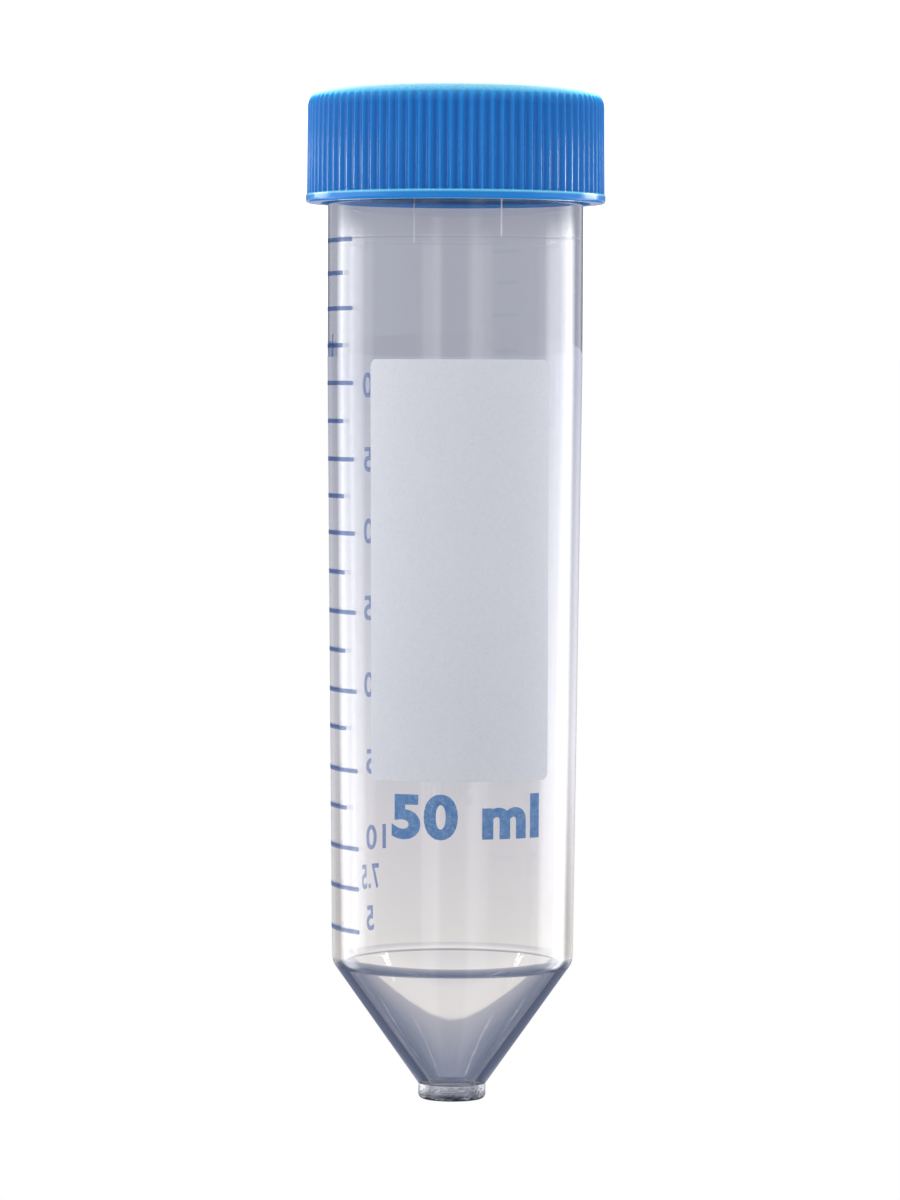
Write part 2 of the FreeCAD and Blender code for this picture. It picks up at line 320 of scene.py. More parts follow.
def cap_relief(angles, z, r):
    """Flutes outside and the screw ridge inside, in millimetres."""
    if r < CAP_BORE_RADIUS + 0.5:
        return -screw_ridge(angles, z, SEAT + CAP_THREAD_START, CAP_THREAD_TURNS,
                            CAP_THREAD_HEIGHT, CAP_RIDGE_CREST, CAP_RIDGE_ROOT)
    pitch = 2 * math.pi / FLUTES
    off = (angles + pitch / 2) % pitch - pitch / 2
    across = FLUTE_CENTRE * np.sin(off)
    depth = np.sqrt(np.clip(FLUTE_RADIUS ** 2 - across ** 2, 0, None))
    valley = FLUTE_CENTRE * np.cos(off) - depth
    valley = np.where(np.abs(across) < FLUTE_RADIUS, valley, FLUTE_CENTRE + 0.5)
    return softer(valley, np.full_like(angles, float(r)), CREST_ROUND) - r


# ---------------------------------------------------------------- the tube

def bore_corner():
    """Where the bore's cone begins, and where it ends, as in the part's own sizes."""
    slope = (SHOULDER_RADIUS - FOOT_RADIUS) / (FOOT_START - CONE_START)
    body = (NECK_RADIUS - SHOULDER_RADIUS) / (CONE_START - STRAIGHT_END)
    square = math.sqrt(1 + slope ** 2)
    z = CONE_START - (CONE_WALL_TOP * square - WALL) / (slope - body)
    r = SHOULDER_RADIUS - WALL + body * (CONE_START - z)
    end = CONE_START + (SHOULDER_RADIUS - CONE_WALL_TIP * square - BORE_TIP_RADIUS) / slope
    return (r, z), (BORE_TIP_RADIUS, end)


def dish_centre(start, end):
    """Centre of the arc between two ends that bulges away from the axis."""
    chord = end - start
    length = np.linalg.norm(chord)
    outward = np.array([chord[1], -chord[0]]) / length
    return (start + end) / 2 - outward * math.sqrt(BORE_CURVE ** 2 - length ** 2 / 4)


def dished_side(start, end, centre):
    """Points on the arc round centre, with room left at both ends for the rounded corners."""
    first = math.atan2(*(start - centre)[::-1])
    last = math.atan2(*(end - centre)[::-1])
    return [centre + BORE_CURVE * np.array([math.cos(a), math.sin(a)])
            for a in np.linspace(first, last, BORE_CURVE_ROWS + 1)][2:-2]


def tube_rows():
    """The tube's closed section: outside from the rim to the foot, then the bore back to the rim."""
    corner, tip = (np.array(point) for point in bore_corner())
    outside = [
        ((BORE_RADIUS + THREAD_WALL_RADIUS) / 2, 0, 0, False, 0),
        (THREAD_WALL_RADIUS, 0, RIM_ROUND, True, 0.1),
        (THREAD_WALL_RADIUS, NECK_START - NECK_STEP, 0, False, 0),
        (NECK_RADIUS, NECK_START, 0.0, True, 0.6),
        (NECK_RADIUS, RING_HEIGHT - RING_ROWS, 0, True, 0.04),
        (NECK_RADIUS, RING_HEIGHT + RING_ROWS, 0, False, 4.0),
        (NECK_RADIUS, STRAIGHT_END, 0, False, 6.0),
        (SHOULDER_RADIUS, CONE_START, SHOULDER_ROUND, False, 1.5),
        (FOOT_RADIUS, FOOT_START, 0, False, 0.4),
        (FOOT_RADIUS, TUBE_LENGTH, FOOT_ROUND, False, 0),
        (GATE_RADIUS, TUBE_LENGTH, 0, False, 0),
        (GATE_RADIUS, TUBE_LENGTH - GATE_DEPTH, 0, False, 0),
        (0, TUBE_LENGTH - GATE_DEPTH, 0, False, 0),
    ]
    centre = dish_centre(corner, tip)
    curve = dished_side(corner, tip, centre)
    inside = [(0, tip[1], 0, False, 0), (tip[0], tip[1], BORE_TIP_ROUND, False, 0)]
    inside += [(r, z, 0, False, 0) for r, z in reversed(curve)]
    inside += [
        (corner[0], corner[1], BORE_CORNER_ROUND, False, 6.0),
        (BORE_RADIUS, STRAIGHT_END, 0, False, 5.0),
        (BORE_RADIUS, 0, RIM_ROUND, False, 0),
    ]
    rows = outline(outside + inside)
    for row in rows:                       # the dished side gets its arc's own normals
        point = np.array([row[0], row[1]])
        if min(np.linalg.norm(point - p) for p in curve) < 1e-6:
            ray = (centre - point) / np.linalg.norm(centre - point)
            row[2] = row[3] = ray
    for row in rows:
        row[1] += SEAT
    return rows + [rows[0]]


def tube_angles():
    """Even steps round the tube, with more of them across the mould seams."""
    angles = set(np.round(np.arange(TUBE_STEPS) * 2 * math.pi / TUBE_STEPS, 9))
    for seam in SEAM_ANGLES:
        for off in (-SEAM_HALF_ANGLE, -0.1, 0.0, 0.1, SEAM_HALF_ANGLE):
            angles.add(round(math.radians(seam + off) % (2 * math.pi), 9))
    return sorted(angles)


def wall_radius(z):
    """Outside radius of neck and body at a height above the cap's flat top."""
    share = np.clip((z - SEAT - STRAIGHT_END) / (CONE_START - STRAIGHT_END), 0, 1)
    return NECK_RADIUS + (SHOULDER_RADIUS - NECK_RADIUS) * share


# ---------------------------------------------------------------- the cap

def cap_rows():
    """The cap's section: flat top, fluted skirt, lip, bore, and the plug seal's ring."""
    corners = [
        (0, 0, 0, False, 0),
        (SKIRT_TOP - EDGE_ROUND - 1.0, 0, 0, False, 0),
        (SKIRT_TOP, 0, EDGE_ROUND, True, 1.0),
        (SKIRT_LOW, LIP_START, 0, False, 0),
        (LIP_RADIUS, LIP_START, LIP_STEP_ROUND, False, 0),
        (LIP_RADIUS, CAP_HEIGHT, LIP_ROUND, False, 0),
        (CAP_BORE_RADIUS + MOUTH_CHAMFER, CAP_HEIGHT, 0, False, 0),
        (CAP_BORE_RADIUS, CAP_HEIGHT - MOUTH_CHAMFER, 0, True, 0.12),
        (CAP_BORE_RADIUS, SEAT, 0, False, 0),
        (SEAL_OUTER, SEAT, 0, False, 0),
        (SEAL_OUTER, SEAL_TOP, SEAL_ROUND, False, 0),
        (SEAL_INNER, SEAL_TOP, SEAL_ROUND, False, 0),
        (SEAL_INNER, SEAT, 0, False, 0),
        (0, SEAT, 0, False, 0),
    ]
    rows = outline(corners)
    for row in rows:                       # the rounded edge carries the flutes' upper ends
        if SKIRT_TOP - EDGE_ROUND + 0.3 < row[0] < LIP_RADIUS and row[1] < EDGE_ROUND + 0.01:
            row[4] = True
    return rows


def flute_angles():
    """Angles round the cap, closer together on the crests between flutes."""
    shares = (0, 0.1, 0.2, 0.3, 0.36, 0.40, 0.45, 0.5, 0.55, 0.60, 0.64, 0.7, 0.8, 0.9)
    pitch = 2 * math.pi / FLUTES
    return [pitch * (flute + share) for flute in range(FLUTES) for share in shares]


# ---------------------------------------------------------------- ink

INK_LIFT = 0.012                       # gap between the wall and the ink
INK_THICKNESS = 0.02
INK_CUT = 0.35                         # widest strip of a flat shape that is bent as one


def film(name, flats, lift=INK_LIFT):
    """Ink as a thin closed layer on the tube's outside.

    flats are (bmesh in flat millimetres, angle in degrees, height) and are read with the cap up:
    flat +x runs to the reader's right and flat +y towards the cap.
    """
    points, faces = [], []
    for flat, angle, height in flats:
        low, high = min(v.co.x for v in flat.verts), max(v.co.x for v in flat.verts)
        cuts = int((high - low) / INK_CUT)
        for cut in range(1, cuts + 1):
            everything = flat.verts[:] + flat.edges[:] + flat.faces[:]
            bmesh.ops.bisect_plane(flat, geom=everything, dist=1e-5, plane_no=(1, 0, 0),
                                   plane_co=(low + (high - low) * cut / (cuts + 1), 0, 0))
        flat.verts.index_update()
        base, count = len(points), len(flat.verts)
        for rise in (lift + INK_THICKNESS, lift):
            for v in flat.verts:
                z = height - v.co.y
                r = float(wall_radius(z))
                turned = math.radians(angle) - v.co.x / r
                points.append(((r + rise) * math.sin(turned) * MM,
                               -(r + rise) * math.cos(turned) * MM, z * MM))
        for face in flat.faces:
            ring = [v.index for v in face.verts]
            if face.normal.z < 0:
                ring.reverse()
            faces.append([base + i for i in ring])
            faces.append([base + count + i for i in reversed(ring)])
        flat.verts.ensure_lookup_table()
        for edge in flat.edges:
            if len(edge.link_faces) == 1:
                face = edge.link_faces[0]
                ring = [v.index for v in face.verts]
                if face.normal.z < 0:
                    ring.reverse()
                i, j = edge.verts[0].index, edge.verts[1].index
                if ring[(ring.index(i) + 1) % len(ring)] != j:
                    i, j = j, i
                faces.append([base + j, base + i, base + count + i, base + count + j])
        flat.free()
    mesh = bpy.data.meshes.new(name)
    mesh.from_pydata(points, [], faces)
    piece = bpy.data.objects.new(name, mesh)
    bpy.context.scene.collection.objects.link(piece)
    return piece


def flat_panel(width, height, rounding, lean=0.0):
    """A rectangle with rounded corners; lean slants its sides."""
    flat = bmesh.new()
    x0 = -width / 2
    left, right = x0 + rounding, x0 + width - rounding
    top, bottom = height / 2 - rounding, -height / 2 + rounding
    steps = 4
    ring = []
    for x, y, start in ((right, top, 0), (left, top, 90), (left, bottom, 180), (right, bottom, 270)):
        for step in range(steps + 1):
            a = math.radians(start + 90 * step / steps)
            v = y + rounding * math.sin(a)
            ring.append(flat.verts.new((x + rounding * math.cos(a) - lean * v, v, 0)))
    flat.faces.new(ring)
    flat.normal_update()
    return flat


def flat_text(text, height, squeeze=1.0, weight=0.0, spacing=1.0):
    """Lettering centred on its own box, with digits of the given height."""
    curve = bpy.data.curves.new("lettering", "FONT")
    curve.body = text
    curve.size = 1.0
    curve.offset = weight
    curve.space_character = spacing
    curve.resolution_u = 6
    holder = bpy.data.objects.new("lettering", curve)
    bpy.context.scene.collection.objects.link(holder)
    bpy.context.view_layer.update()
    mesh = bpy.data.meshes.new_from_object(holder.evaluated_get(bpy.context.evaluated_depsgraph_get()))
    flat = bmesh.new()
    flat.from_mesh(mesh)
    bpy.data.objects.remove(holder)
    bpy.data.curves.remove(curve)
    bpy.data.meshes.remove(mesh)
    xs, ys = [v.co.x for v in flat.verts], [v.co.y for v in flat.verts]
    scale = height / (max(ys) - min(ys))
    for v in flat.verts:
        v.co.x = (v.co.x - (min(xs) + max(xs)) / 2) * scale * squeeze
        v.co.y = (v.co.y - (min(ys) + max(ys)) / 2) * scale
        v.co.z = 0
    bmesh.ops.remove_doubles(flat, verts=flat.verts, dist=1e-5)
    flat.normal_update()
    return flat


# ---------------------------------------------------------------- materials

def opaque(colour):
    """A grey level, or red, green and blue, as a colour socket takes it."""
    return (*((colour,) * 3 if isinstance(colour, (int, float)) else colour), 1)


class Nodes:
    """Short hand for building a node tree."""

    def __init__(self, tree):
        self.tree = tree

    def __call__(self, kind, inputs=None, **settings):
        node = self.tree.nodes.new(kind)
        for key, value in settings.items():
            setattr(node, key, value)
        for key, value in (inputs or {}).items():
            if isinstance(value, bpy.types.NodeSocket):
                self.tree.links.new(value, node.inputs[key])
            else:
                node.inputs[key].default_value = value
        return node

    def ramp(self, factor, stops):
        """A colour ramp through (position, colour) stops."""
        node = self("ShaderNodeValToRGB", {"Fac": factor})
        band = node.color_ramp.elements
        while len(band) < len(stops):
            band.new(0.5)
        for element, (position, colour) in zip(band, stops):
            element.position = position
            element.color = opaque(colour)
        return node.outputs["Color"]

    def between(self, value, low, high, start=0.0, end=1.0, **settings):
        """start on the far side of low, end on the far side of high, and even between them."""
        return self("ShaderNodeMapRange", {"Value": value, "From Min": low, "From Max": high,
                                           "To Min": start, "To Max": end}, **settings).outputs["Result"]

    def maths(self, kind, *values, clamp=False):
        return self("ShaderNodeMath", dict(enumerate(values)), operation=kind, use_clamp=clamp).outputs[0]

    def times(self, a, b):
        return self.maths("MULTIPLY", a, b)

    def vector(self, kind, *values):
        node = self("ShaderNodeVectorMath", dict(enumerate(values)), operation=kind)
        return node.outputs["Value" if kind in ("LENGTH", "DOT_PRODUCT") else "Vector"]

    def scaled(self, vector, factor):
        return self("ShaderNodeVectorMath", {0: vector, "Scale": factor}, operation="SCALE").outputs["Vector"]

    def split(self, vector):
        return self("ShaderNodeSeparateXYZ", {"Vector": vector}).outputs

    def noise(self, place, scale, detail):
        return self("ShaderNodeTexNoise", {"Vector": place, "Scale": scale, "Detail": detail}).outputs["Fac"]

    def blend(self, factor, a, b, kind="MIX"):
        """A mix of two colours, each of them a socket, a grey level, or red, green and blue."""
        a, b = (c if isinstance(c, bpy.types.NodeSocket) else opaque(c) for c in (a, b))
        return self("ShaderNodeMix", {"Factor": factor, 6: a, 7: b},
                    data_type="RGBA", blend_type=kind).outputs[2]

    def bump(self, height, strength, distance, under=None):
        inputs = {"Height": height, "Strength": strength, "Distance": distance}
        if under is not None:
            inputs["Normal"] = under
        return self("ShaderNodeBump", inputs).outputs["Normal"]

    def shader(self, kind, inputs):
        return self("ShaderNodeBsdf" + kind, inputs).outputs["BSDF"]

    def mixed(self, factor, a, b):
        return self("ShaderNodeMixShader", {0: factor, 1: a, 2: b}).outputs["Shader"]

    def reach(self, place):
        """Distance from the Z axis."""
        return self.vector("LENGTH", self.vector("MULTIPLY", place, (1, 1, 0)))


def new_material(name):
    material = bpy.data.materials.new(name)
    material.use_nodes = True
    material.node_tree.nodes.clear()
    return material, Nodes(material.node_tree)


def clear_plastic():
    """Clear moulded plastic: smooth, faintly blue-grey in its depth, and open to lamps.

    The foot at the tip is frosted and mottled darker at its end, and the mould's two parting lines on
    the neck carry pale scattering strips, a painted highlight in place of their glint.
    """
    material, node = new_material("clear_plastic")
    place = node("ShaderNodeTexCoord").outputs["Object"]
    z = node.split(place)["Z"]

    def over(value, low, high):
        return node.between(value, low * MM, high * MM)

    drawn = node("ShaderNodeMapping", {"Vector": place, "Scale": (500, 500, 40)}).outputs["Vector"]
    smooth = node.bump(node.noise(drawn, 1.0, 2.0), 0.02, 0.00005)
    pits = node.noise(place, 2200.0, 3.0)
    foot = over(z, SEAT + FOOT_START - 0.05, SEAT + FOOT_START + 0.15)
    rough = node.bump(pits, foot, 0.00012, smooth)
    # darker mottling over the foot's last millimetre
    foot_mottle = node.ramp(pits, [(0.47, (0.015, 0.01, 0.02)), (0.60, (0.42, 0.41, 0.46))])
    foot_end_mask = over(z, SEAT + TUBE_LENGTH - 1.1, SEAT + TUBE_LENGTH - 0.4)
    body = node.shader("Principled", {
        "Base Color": node.blend(foot_end_mask, 1, foot_mottle), "Roughness": node.times(foot, 0.24), "IOR": 1.57,
        "Transmission Weight": 1.0, "Normal": rough})

    # painted highlight: pale scattering strips along the neck's two mould seams, in place of their glint
    seam = math.radians(SEAM_ANGLES[0])
    aside = node.vector("DOT_PRODUCT", place, (math.cos(seam), math.sin(seam), 0))
    seam_glint_mask = over(node.maths("ABSOLUTE", aside), 0.13, 0.06)
    seam_glint_mask = node.times(seam_glint_mask, over(node.reach(place), NECK_RADIUS - 0.4, NECK_RADIUS - 0.2))
    seam_glint_mask = node.times(seam_glint_mask, over(z, SEAT + RING_HEIGHT + 0.1, SEAT + RING_HEIGHT - 0.1))
    seam_glint_mask = node.times(seam_glint_mask, over(z, CAP_HEIGHT - 1.5, CAP_HEIGHT - 1.3))
    pale = {"Color": opaque((0.95, 0.95, 0.97))}
    seam_glint = node.mixed(0.5, node.shader("Diffuse", pale), node.shader("Translucent", pale))
    body = node.mixed(node.times(seam_glint_mask, 0.7), body, seam_glint)

    open_way = node.shader("Transparent", {"Color": opaque((0.93, 0.94, 0.96))})
    surface = node.mixed(node("ShaderNodeLightPath").outputs["Is Shadow Ray"], body, open_way)
    depth = node("ShaderNodeVolumeAbsorption", {"Color": opaque((0.55, 0.62, 0.74)), "Density": 60.0})
    node("ShaderNodeOutputMaterial", {"Surface": surface, "Volume": depth.outputs["Volume"]})
    return material


def cap_plastic():
    """Blue moulded plastic: a soft gloss and a faint grain, with painted highlights on its edges and painted
    light and shade on its flutes.
    """
    material, node = new_material("cap_plastic")
    place = node("ShaderNodeTexCoord").outputs["Object"]
    cloud = node.noise(place, 260.0, 3.0)
    deep = node.ramp(cloud, [(0.3, (0.002, 0.130, 0.490)), (0.7, (0.003, 0.150, 0.530))])
    reach = node.between(node.reach(place), 16 * MM, 17.5 * MM)
    # painted light and shade: darker blue in the flutes' valleys as if shaded, paler on the crests between
    # them and everywhere inside the skirt as if lit
    crest = node.ramp(reach, [(0.13, 1), (0.23, 0), (0.48, 0), (0.63, 1)])
    blue = node.blend(crest, deep, (0.014, 0.240, 0.690))

    # painted highlights: a pale band on the rounded edge at the flat top and a pale line along the lip,
    # broken up a little by noise
    lip_highlight_band = [((LIP_START + rise) / CAP_HEIGHT, level)
           for rise, level in ((-0.12, 0), (0.02, 1), (0.12, 1), (0.3, 0))]
    edge = node.ramp(node.between(node.split(place)["Z"], 0.0, CAP_HEIGHT * MM), [
        (0.0, 1), (0.048, 0.95), (0.066, 0.68), (0.083, 0.28), (0.115, 0.12), (0.17, 0)] + lip_highlight_band)
    edge = node.times(edge, node.between(node.noise(place, 2500.0, 2.0), 0.35, 0.60, 0.8))
    blue = node.blend(edge, blue, (0.20, 0.74, 1.0))
    body = node.shader("Principled", {
        "Base Color": blue, "Roughness": node.between(cloud, 0.0, 1.0, 0.12, 0.17), "IOR": 1.5,
        "Normal": node.bump(node.noise(place, 9000.0, 2.0), 0.05, 0.00002)})
    node("ShaderNodeOutputMaterial", {"Surface": body})
    return material


def ink(name, light, dark, cover, glow, holes, tint=(1, 1, 1), painted_shade_far_end=1.0):
    """Screen-printed ink: a little uneven, partly see-through, and with pinholes of the screen.

    cover is the share of light that meets ink, and holes the share lost to pinholes.  glow is the
    share of the ink that lights up from behind, and tint colours what passes beside it.
    The last argument darkens it gradually toward the cone's end of the print, as painted shade.
    """
    material, node = new_material(name)
    place = node("ShaderNodeTexCoord").outputs["Object"]
    colour = node.ramp(node.noise(place, 1800.0, 4.0), [(0.3, dark), (0.7, light)])
    # painted shade: the print darkens towards the cone's end
    along = node.between(node.split(place)["Z"], 55 * MM, 79 * MM, 1.0, painted_shade_far_end)
    colour = node.blend(1.0, colour, along, "MULTIPLY")
    solid = node.between(node.noise(place, 5200.0, 1.0), 0.30, 0.45, cover - holes, cover)
    body = node.mixed(glow, node.shader("Diffuse", {"Color": colour}),
                      node.shader("Translucent", {"Color": colour}))
    gap = node.shader("Transparent", {"Color": opaque(tint)})
    node("ShaderNodeOutputMaterial", {"Surface": node.mixed(solid, gap, body)})
    return material


# ---------------------------------------------------------------- build

def build_tube():
    tube = lathe("tube_body", tube_rows(), tube_angles(), tube_relief)
    tube.data.materials.append(clear_plastic())
    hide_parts("tube")
    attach(tube, "tube")


def build_cap():
    rows = cap_rows()

    def coarse(number):
        """True for rows without flutes: the flat top's, and all from the mouth inwards."""
        r, z = rows[number][:2]
        mouth = z >= CAP_HEIGHT - 0.001 and r < LIP_RADIUS - 0.5
        return mouth or r < CAP_BORE_RADIUS + 0.05 and number > 5 or number < 2

    cap = lathe("cap_body", rows, flute_angles(), cap_relief, coarse, COARSE_STEP)
    cap.data.materials.append(cap_plastic())
    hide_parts("cap")
    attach(cap, "cap")


# height above the cap's flat top of each volume's mark, from the photo's spacing
MARKS = {
    50: 17.37, 47.5: 21.16, 45: 25.2, 42.5: 29.42, 40: 33.7, 37.5: 38.05, 35: 42.4, 32.5: 46.62,
    30: 50.83, 27.5: 55.31, 25: 59.84, 22.5: 64.27, 20: 68.85, 17.5: 73.14, 15: 77.92, 12.5: 82.22,
    10: 86.82, 7.5: 91.42, 5: 96.32}
MARK_EDGE = 96                         # angle at which all marks end
MARK_WIDTH, MARK_ROUND = 0.5, 0.12
FIGURE_HEIGHT = 2.95
FIGURE_SHAPES = {2: (1.03, 136.2), 3: (0.67, 131.7), 1: (0.80, 131.9)}  # squeeze and angle by length
TOP_FIGURE = 40
PATCH_SIZE, PATCH_PLACE = (22.25, 47.7), (-3.4, 54.85)     # millimetres; angle and height


def build_print():
    lines, figures = [], []
    for volume, z in MARKS.items():
        long = volume % 5 == 0 or volume == 7.5
        start = 52.8 - 0.045 * (z - 17) if long else 61.0 - 0.03 * (z - 17)
        width = math.radians(MARK_EDGE - start) * float(wall_radius(z))
        lines.append((flat_panel(width, MARK_WIDTH, MARK_ROUND), (MARK_EDGE + start) / 2, z))
        if long and volume <= TOP_FIGURE:
            text = f"{volume:g}"
            squeeze, angle = FIGURE_SHAPES[len(text)]
            figures.append((flat_text(text, FIGURE_HEIGHT, squeeze, 0.02, 1.1), angle, z + 0.2))
    unit = flat_text("ml", 2.6, 0.75, 0.03), 76.0, MARKS[42.5]
    volume_mark = flat_text("50 ml", 5.2, 1.12, 0.045, 1.1), -7.0, 82.7
    patch = flat_panel(*PATCH_SIZE, 0.8, 0.006), *PATCH_PLACE
    blue = ink("blue_ink", (0.16, 0.22, 0.42), (0.11, 0.17, 0.36), 0.14, 0.2, 0.07, (0.71, 0.76, 0.86))
    pale = ink("volume_ink", (0.24, 0.40, 0.64), (0.13, 0.28, 0.56), 0.95, 0.3, 0.45)
    figure_ink = ink("figure_ink", (0.14, 0.24, 0.52), (0.10, 0.20, 0.48), 0.22, 0.5, 0.12,
                     (0.52, 0.63, 0.84))
    white = ink("white_ink", (0.94, 0.945, 0.97), (0.915, 0.92, 0.94), 0.87, 0.5, 0.05, painted_shade_far_end=0.97)
    pieces = [
        (film("graduation_lines", lines), blue),
        (film("graduation_figures", figures), figure_ink),
        (film("unit_mark", [unit], 0.035), blue),
        (film("volume_mark", [volume_mark]), pale),
        (film("writing_patch", [patch]), white),
    ]
    for piece, material in pieces:
        piece.data.materials.append(material)
        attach(piece, "tube")


# ---------------------------------------------------------------- camera, light and stage

CAMERA_PLACE = (0.46 * MM, -0.575, 0.035)
CAMERA_PITCH, CAMERA_ROLL = math.radians(2.36), math.radians(0.25)
FOCAL_LENGTH, SENSOR_WIDTH = 149.4, 36.0

# name; angle and half width as seen from the tube, in degrees; distance and height; radiance
LAMPS = (
    ("left_bar", 118, 14, 0.09, 0.0085, 9.0),
    ("right_bar", -118, 14, 0.09, 0.0085, 13.0),
    ("left_low", 74, 26, 0.09, 0.008, 2.0),
    ("right_low", -76, 20, 0.09, 0.008, 1.2),
    ("left_box", 118, 16, 0.35, 0.30, 1.15),
    ("left_side", 99, 8, 0.35, 0.30, 0.35),
    ("right_box", -121, 17, 0.35, 0.30, 1.5),
    ("right_side", -99, 9, 0.35, 0.30, 0.6),
    ("left_strip", 21, 11, 0.42, 0.30, 0.22),
    ("right_strip", -24, 12, 0.42, 0.30, 0.25),
)
TALL_LAMP = 0.1                        # lamps taller than this show in reflections inside the plastic
FLOOR_GAP = 0.001
SIDE_FADE = (0.5, 0.28)                # dark at its side edge, full from here on; shares of its width
END_FADE = 0.25                        # at its lower and upper end; share of its height
LONGEST_LOW_FADE = 0.006               # at its lower end, in metres
FLOOR_RADIUS = 4.0


def build_camera():
    """Level with a point 35 mm above the cap's flat top, and turned over so that the cap is up."""
    data = bpy.data.cameras.new("camera")
    data.sensor_width = SENSOR_WIDTH
    data.lens = FOCAL_LENGTH
    camera = bpy.data.objects.new("camera", data)
    bpy.context.scene.collection.objects.link(camera)
    ahead = Vector((0, math.cos(CAMERA_PITCH), math.sin(CAMERA_PITCH)))
    up = Vector((0, math.sin(CAMERA_PITCH), -math.cos(CAMERA_PITCH)))
    right = ahead.cross(up)
    cosine, sine = math.cos(CAMERA_ROLL), math.sin(CAMERA_ROLL)
    up, right = up * cosine - right * sine, right * cosine + up * sine
    turn = Matrix((right, up, -ahead)).transposed().to_4x4()
    camera.matrix_world = Matrix.Translation(CAMERA_PLACE) @ turn
    bpy.context.scene.camera = camera


def panel_lamp(name, place, aim, size, radiance, inner):
    """A standing soft box that fades at its edges; its power follows from its size and radiance.

    Rays that only passed through the clear plastic don't see it, so that the tube isn't lost in
    front of it from any side. Reflections do, those inside the plastic only where inner is set.
    """
    data = bpy.data.lights.new(name, "AREA")
    data.shape = "RECTANGLE"
    data.size, data.size_y = size
    data.energy = radiance * 4 * size[0] * size[1]
    lamp = bpy.data.objects.new(name, data)
    bpy.context.scene.collection.objects.link(lamp)
    way = Vector(aim) - Vector(place)
    lamp.matrix_world = Matrix.Translation(place) @ way.to_track_quat("-Z", "Y").to_matrix().to_4x4()
    lamp.visible_camera = False

    data.use_nodes = True
    data.node_tree.nodes.clear()
    node = Nodes(data.node_tree)
    path = node("ShaderNodeLightPath").outputs
    power = node.maths("SUBTRACT", 1.0, path["Is Transmission Ray"])
    if inner:
        power = node.maths("MAXIMUM", power, node.maths("GREATER_THAN", path["Glossy Depth"], 0.5))
    spot = node("ShaderNodeNewGeometry").outputs
    across = node.maths("ABSOLUTE", node.maths("SUBTRACT", node.split(spot["Parametric"])["X"], 0.5))
    up = node.split(spot["Position"])["Z"]
    bottom, top = place[2] - size[1] / 2, place[2] + size[1] / 2
    fade = END_FADE * size[1]
    for value, start, end in ((across, *SIDE_FADE), (up, top, top - fade),
                              (up, bottom, bottom + min(fade, LONGEST_LOW_FADE))):
        power = node.times(power, node.between(value, start, end, interpolation_type="SMOOTHSTEP"))
    glow = node("ShaderNodeEmission", {"Strength": power})
    node("ShaderNodeOutputLight", {"Surface": glow.outputs["Emission"]})


def seen_background(node, way):
    """What clear plastic and gloss show of the world: grey low down, pale, then dark higher up."""
    rise = node.between(way["Z"], 0.0, 0.25)
    seen = node.ramp(rise, [
        (0.00, (0.45, 0.46, 0.54)), (0.30, (0.64, 0.63, 0.67)), (0.37, (0.72, 0.69, 0.71)),
        (0.43, (0.79, 0.76, 0.75)), (0.46, (0.89, 0.85, 0.82)), (0.545, (0.91, 0.86, 0.82)),
        (0.553, (0.80, 0.76, 0.75)), (0.561, (0.48, 0.475, 0.52)), (0.59, (0.44, 0.43, 0.49)),
        (0.64, (0.37, 0.37, 0.44)), (0.73, (0.25, 0.27, 0.35)), (0.87, (0.19, 0.22, 0.30)),
        (1.0, (0.14, 0.165, 0.25))])
    front = node.between(way["Y"], -0.9, 0.1, 0.5)
    seen = node.blend(1.0, seen, front, "MULTIPLY")
    off = node.maths("ABSOLUTE", way["X"])
    low_down = node.between(rise, 0.45, 0.30)
    aside = node.maths("MULTIPLY_ADD", node.between(off, 0.17, 0.34, 0.0, 0.35), low_down, 1.0)
    right = node.between(way["X"], -0.10, -0.28, 0.0, 0.5)
    aside = node.maths("MULTIPLY_ADD", right, low_down, aside)
    aside = node.times(aside, node.between(off, 0.32, 0.45, 1.0, 0.66))
    return node.blend(1.0, seen, aside, "MULTIPLY")


def room_light(node, way):
    """The world that lights the object: a pale grey, brighter to the sides and most to the left."""
    flanks = node.between(node.maths("ABSOLUTE", way["X"]), 0.2, 0.9, 0.62, 1.30)
    left = node.between(way["X"], 0.5, 0.95, 0.0, 0.6)
    return node.blend(1.0, (0.90, 0.91, 0.94), node.maths("ADD", flanks, left), "MULTIPLY")


def build_light():
    world = bpy.data.worlds.new("studio")
    bpy.context.scene.world = world
    world.use_nodes = True
    world.node_tree.nodes.clear()
    node = Nodes(world.node_tree)
    way = node.split(node("ShaderNodeTexCoord").outputs["Generated"])
    path = node("ShaderNodeLightPath").outputs
    sharp = node.maths("MAXIMUM", path["Is Glossy Ray"], path["Is Transmission Ray"])
    soft = node.blend(sharp, room_light(node, way), seen_background(node, way))
    shown = node.blend(path["Is Camera Ray"], soft, 1)
    back = node("ShaderNodeBackground", {"Color": shown, "Strength": 1.0})
    node("ShaderNodeOutputWorld", {"Surface": back.outputs["Background"]})
    for name, angle, spread, distance, tall, radiance in LAMPS:
        turn = math.radians(angle)
        place = (distance * math.sin(turn), -distance * math.cos(turn), tall / 2 + FLOOR_GAP)
        width = 2 * distance * math.tan(math.radians(spread))
        panel_lamp(name, place, (0, 0, place[2]), (width, tall), radiance, tall > TALL_LAMP)


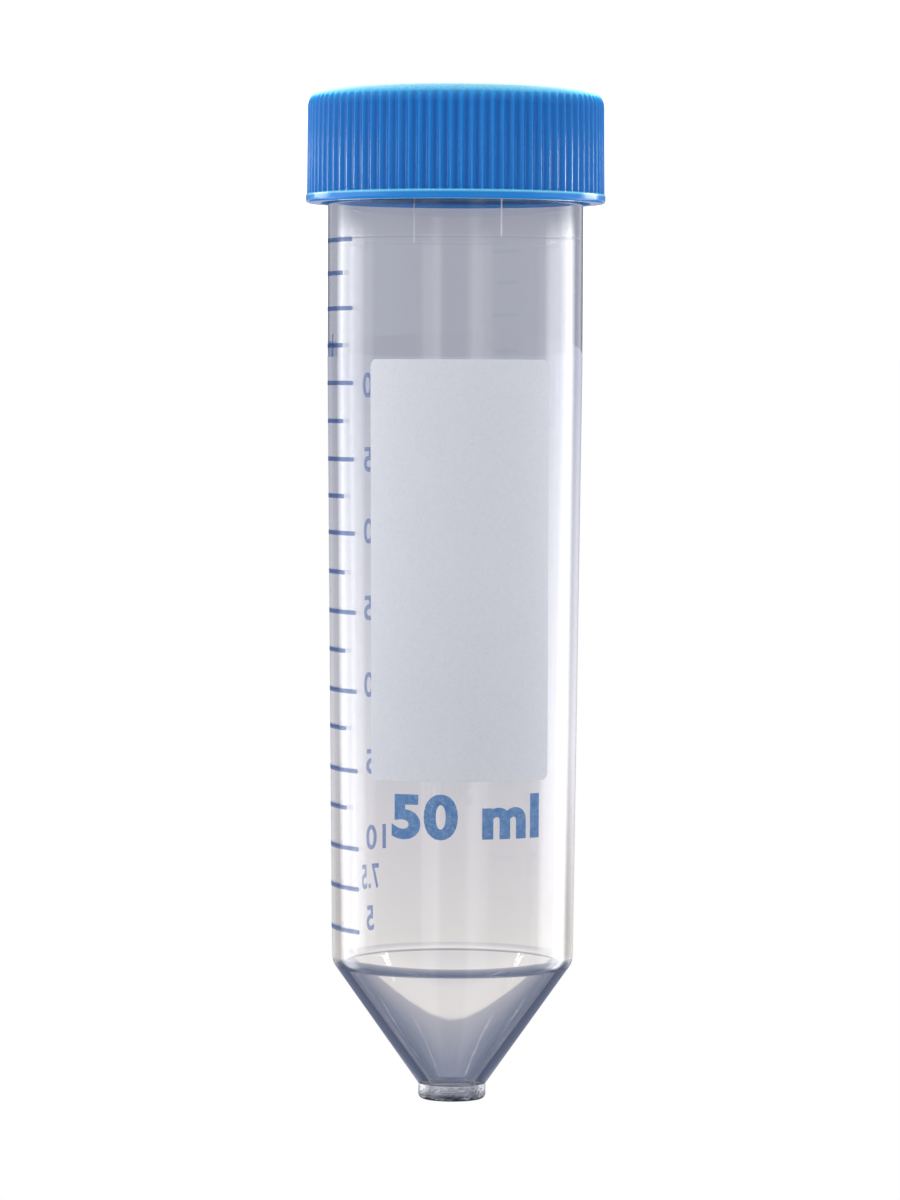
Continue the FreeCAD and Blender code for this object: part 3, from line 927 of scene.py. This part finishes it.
def floor_through(node, away, across):
    """The floor as the clear plastic shows it.

    It glows with fixed tones that only rays through the plastic see, painted light and shade: pale
    close by, grey further off, and paler again just beside the middle.
    """
    side = node.maths("ABSOLUTE", across)
    side = node.times(node.between(side, 0.17, 0.30), node.between(side, 0.45, 0.34))
    shade = node.blend(node.between(away, 0.36, 0.60), (0.345, 0.35, 0.415), (0.41, 0.417, 0.485))
    pale = node.blend(node.between(across, 0.1, -0.2), (0.63, 0.64, 0.70), (0.84, 0.85, 0.91))
    far = node.blend(side, shade, pale)
    return node.blend(node.between(away, 0.05, 0.30), (0.80, 0.81, 0.85), far)


def floor_mirrored(node, away, across):
    """The floor as the cap mirrors it.

    It glows only in reflections, a painted reflection: a bright ring under the cap's rounded edge
    paints the highlight there; beyond it the floor is dark, and less so to the sides.
    """
    flank = node.maths("MAXIMUM", node.between(across, 0.40, 0.90),
                       node.between(across, -0.50, -0.95, 0.0, 0.4))
    murk = node.blend(flank, (0.22, 0.23, 0.28), (0.75, 0.79, 0.90))
    # painted highlight: the ring glows in the cap's reflection under its rounded edge
    rim_highlight_ring = node.ramp(node.between(away, 0.015, 0.025), [
        (0.0, (1, 1, 0.9)), (0.12, (0.8, 1, 0.95)), (0.17, (0.35, 0.9, 1)), (0.22, (0.15, 0.6, 0.9)),
        (0.33, (0.03, 0.25, 0.7)), (0.58, (0.02, 0.2, 0.45)), (1.0, 0)])
    dim = node.scaled(murk, node.between(away, 0.025, 0.035))
    return node.vector("ADD", node.scaled(rim_highlight_ring, 4.0), dim)


def build_floor():
    mesh = bpy.data.meshes.new("floor")
    floor_mesh = bmesh.new()
    bmesh.ops.create_circle(floor_mesh, cap_ends=True, segments=96, radius=FLOOR_RADIUS)
    floor_mesh.to_mesh(mesh)
    floor_mesh.free()
    floor = bpy.data.objects.new("floor", mesh)
    floor.location.z = CAP_LOW.z
    bpy.context.scene.collection.objects.link(floor)
    material, node = new_material("pale_floor")
    path = node("ShaderNodeLightPath").outputs
    place = node("ShaderNodeTexCoord").outputs["Object"]
    away = node.vector("LENGTH", place)
    across = node.maths("DIVIDE", node.split(place)["X"], away)

    # camera rays see the floor lit and glowing white; rays through the plastic and reflections see only the
    # painted glow of floor_through and floor_mirrored
    sent = path["Is Transmission Ray"]
    back = node.maths("SUBTRACT", path["Is Glossy Ray"], sent, clamp=True)
    shown = node.blend(sent, 0.6, floor_through(node, away, across))
    shown = node.blend(back, shown, floor_mirrored(node, away, across))
    seen = node.maths("MAXIMUM", node.maths("MAXIMUM", path["Is Camera Ray"], sent), back)
    shine = node("ShaderNodeEmission", {"Color": shown, "Strength": seen})
    plain = node.maths("SUBTRACT", 0.86, node.maths("MAXIMUM", sent, back), clamp=True)
    face = node.shader("Diffuse", {"Color": plain})
    both = node("ShaderNodeAddShader", {0: face, 1: shine.outputs["Emission"]})
    node("ShaderNodeOutputMaterial", {"Surface": both.outputs["Shader"]})
    floor.data.materials.append(material)


build_tube()
build_cap()
build_print()
build_camera()
build_light()
build_floor()
bpy.context.scene.view_settings.view_transform = "Standard"
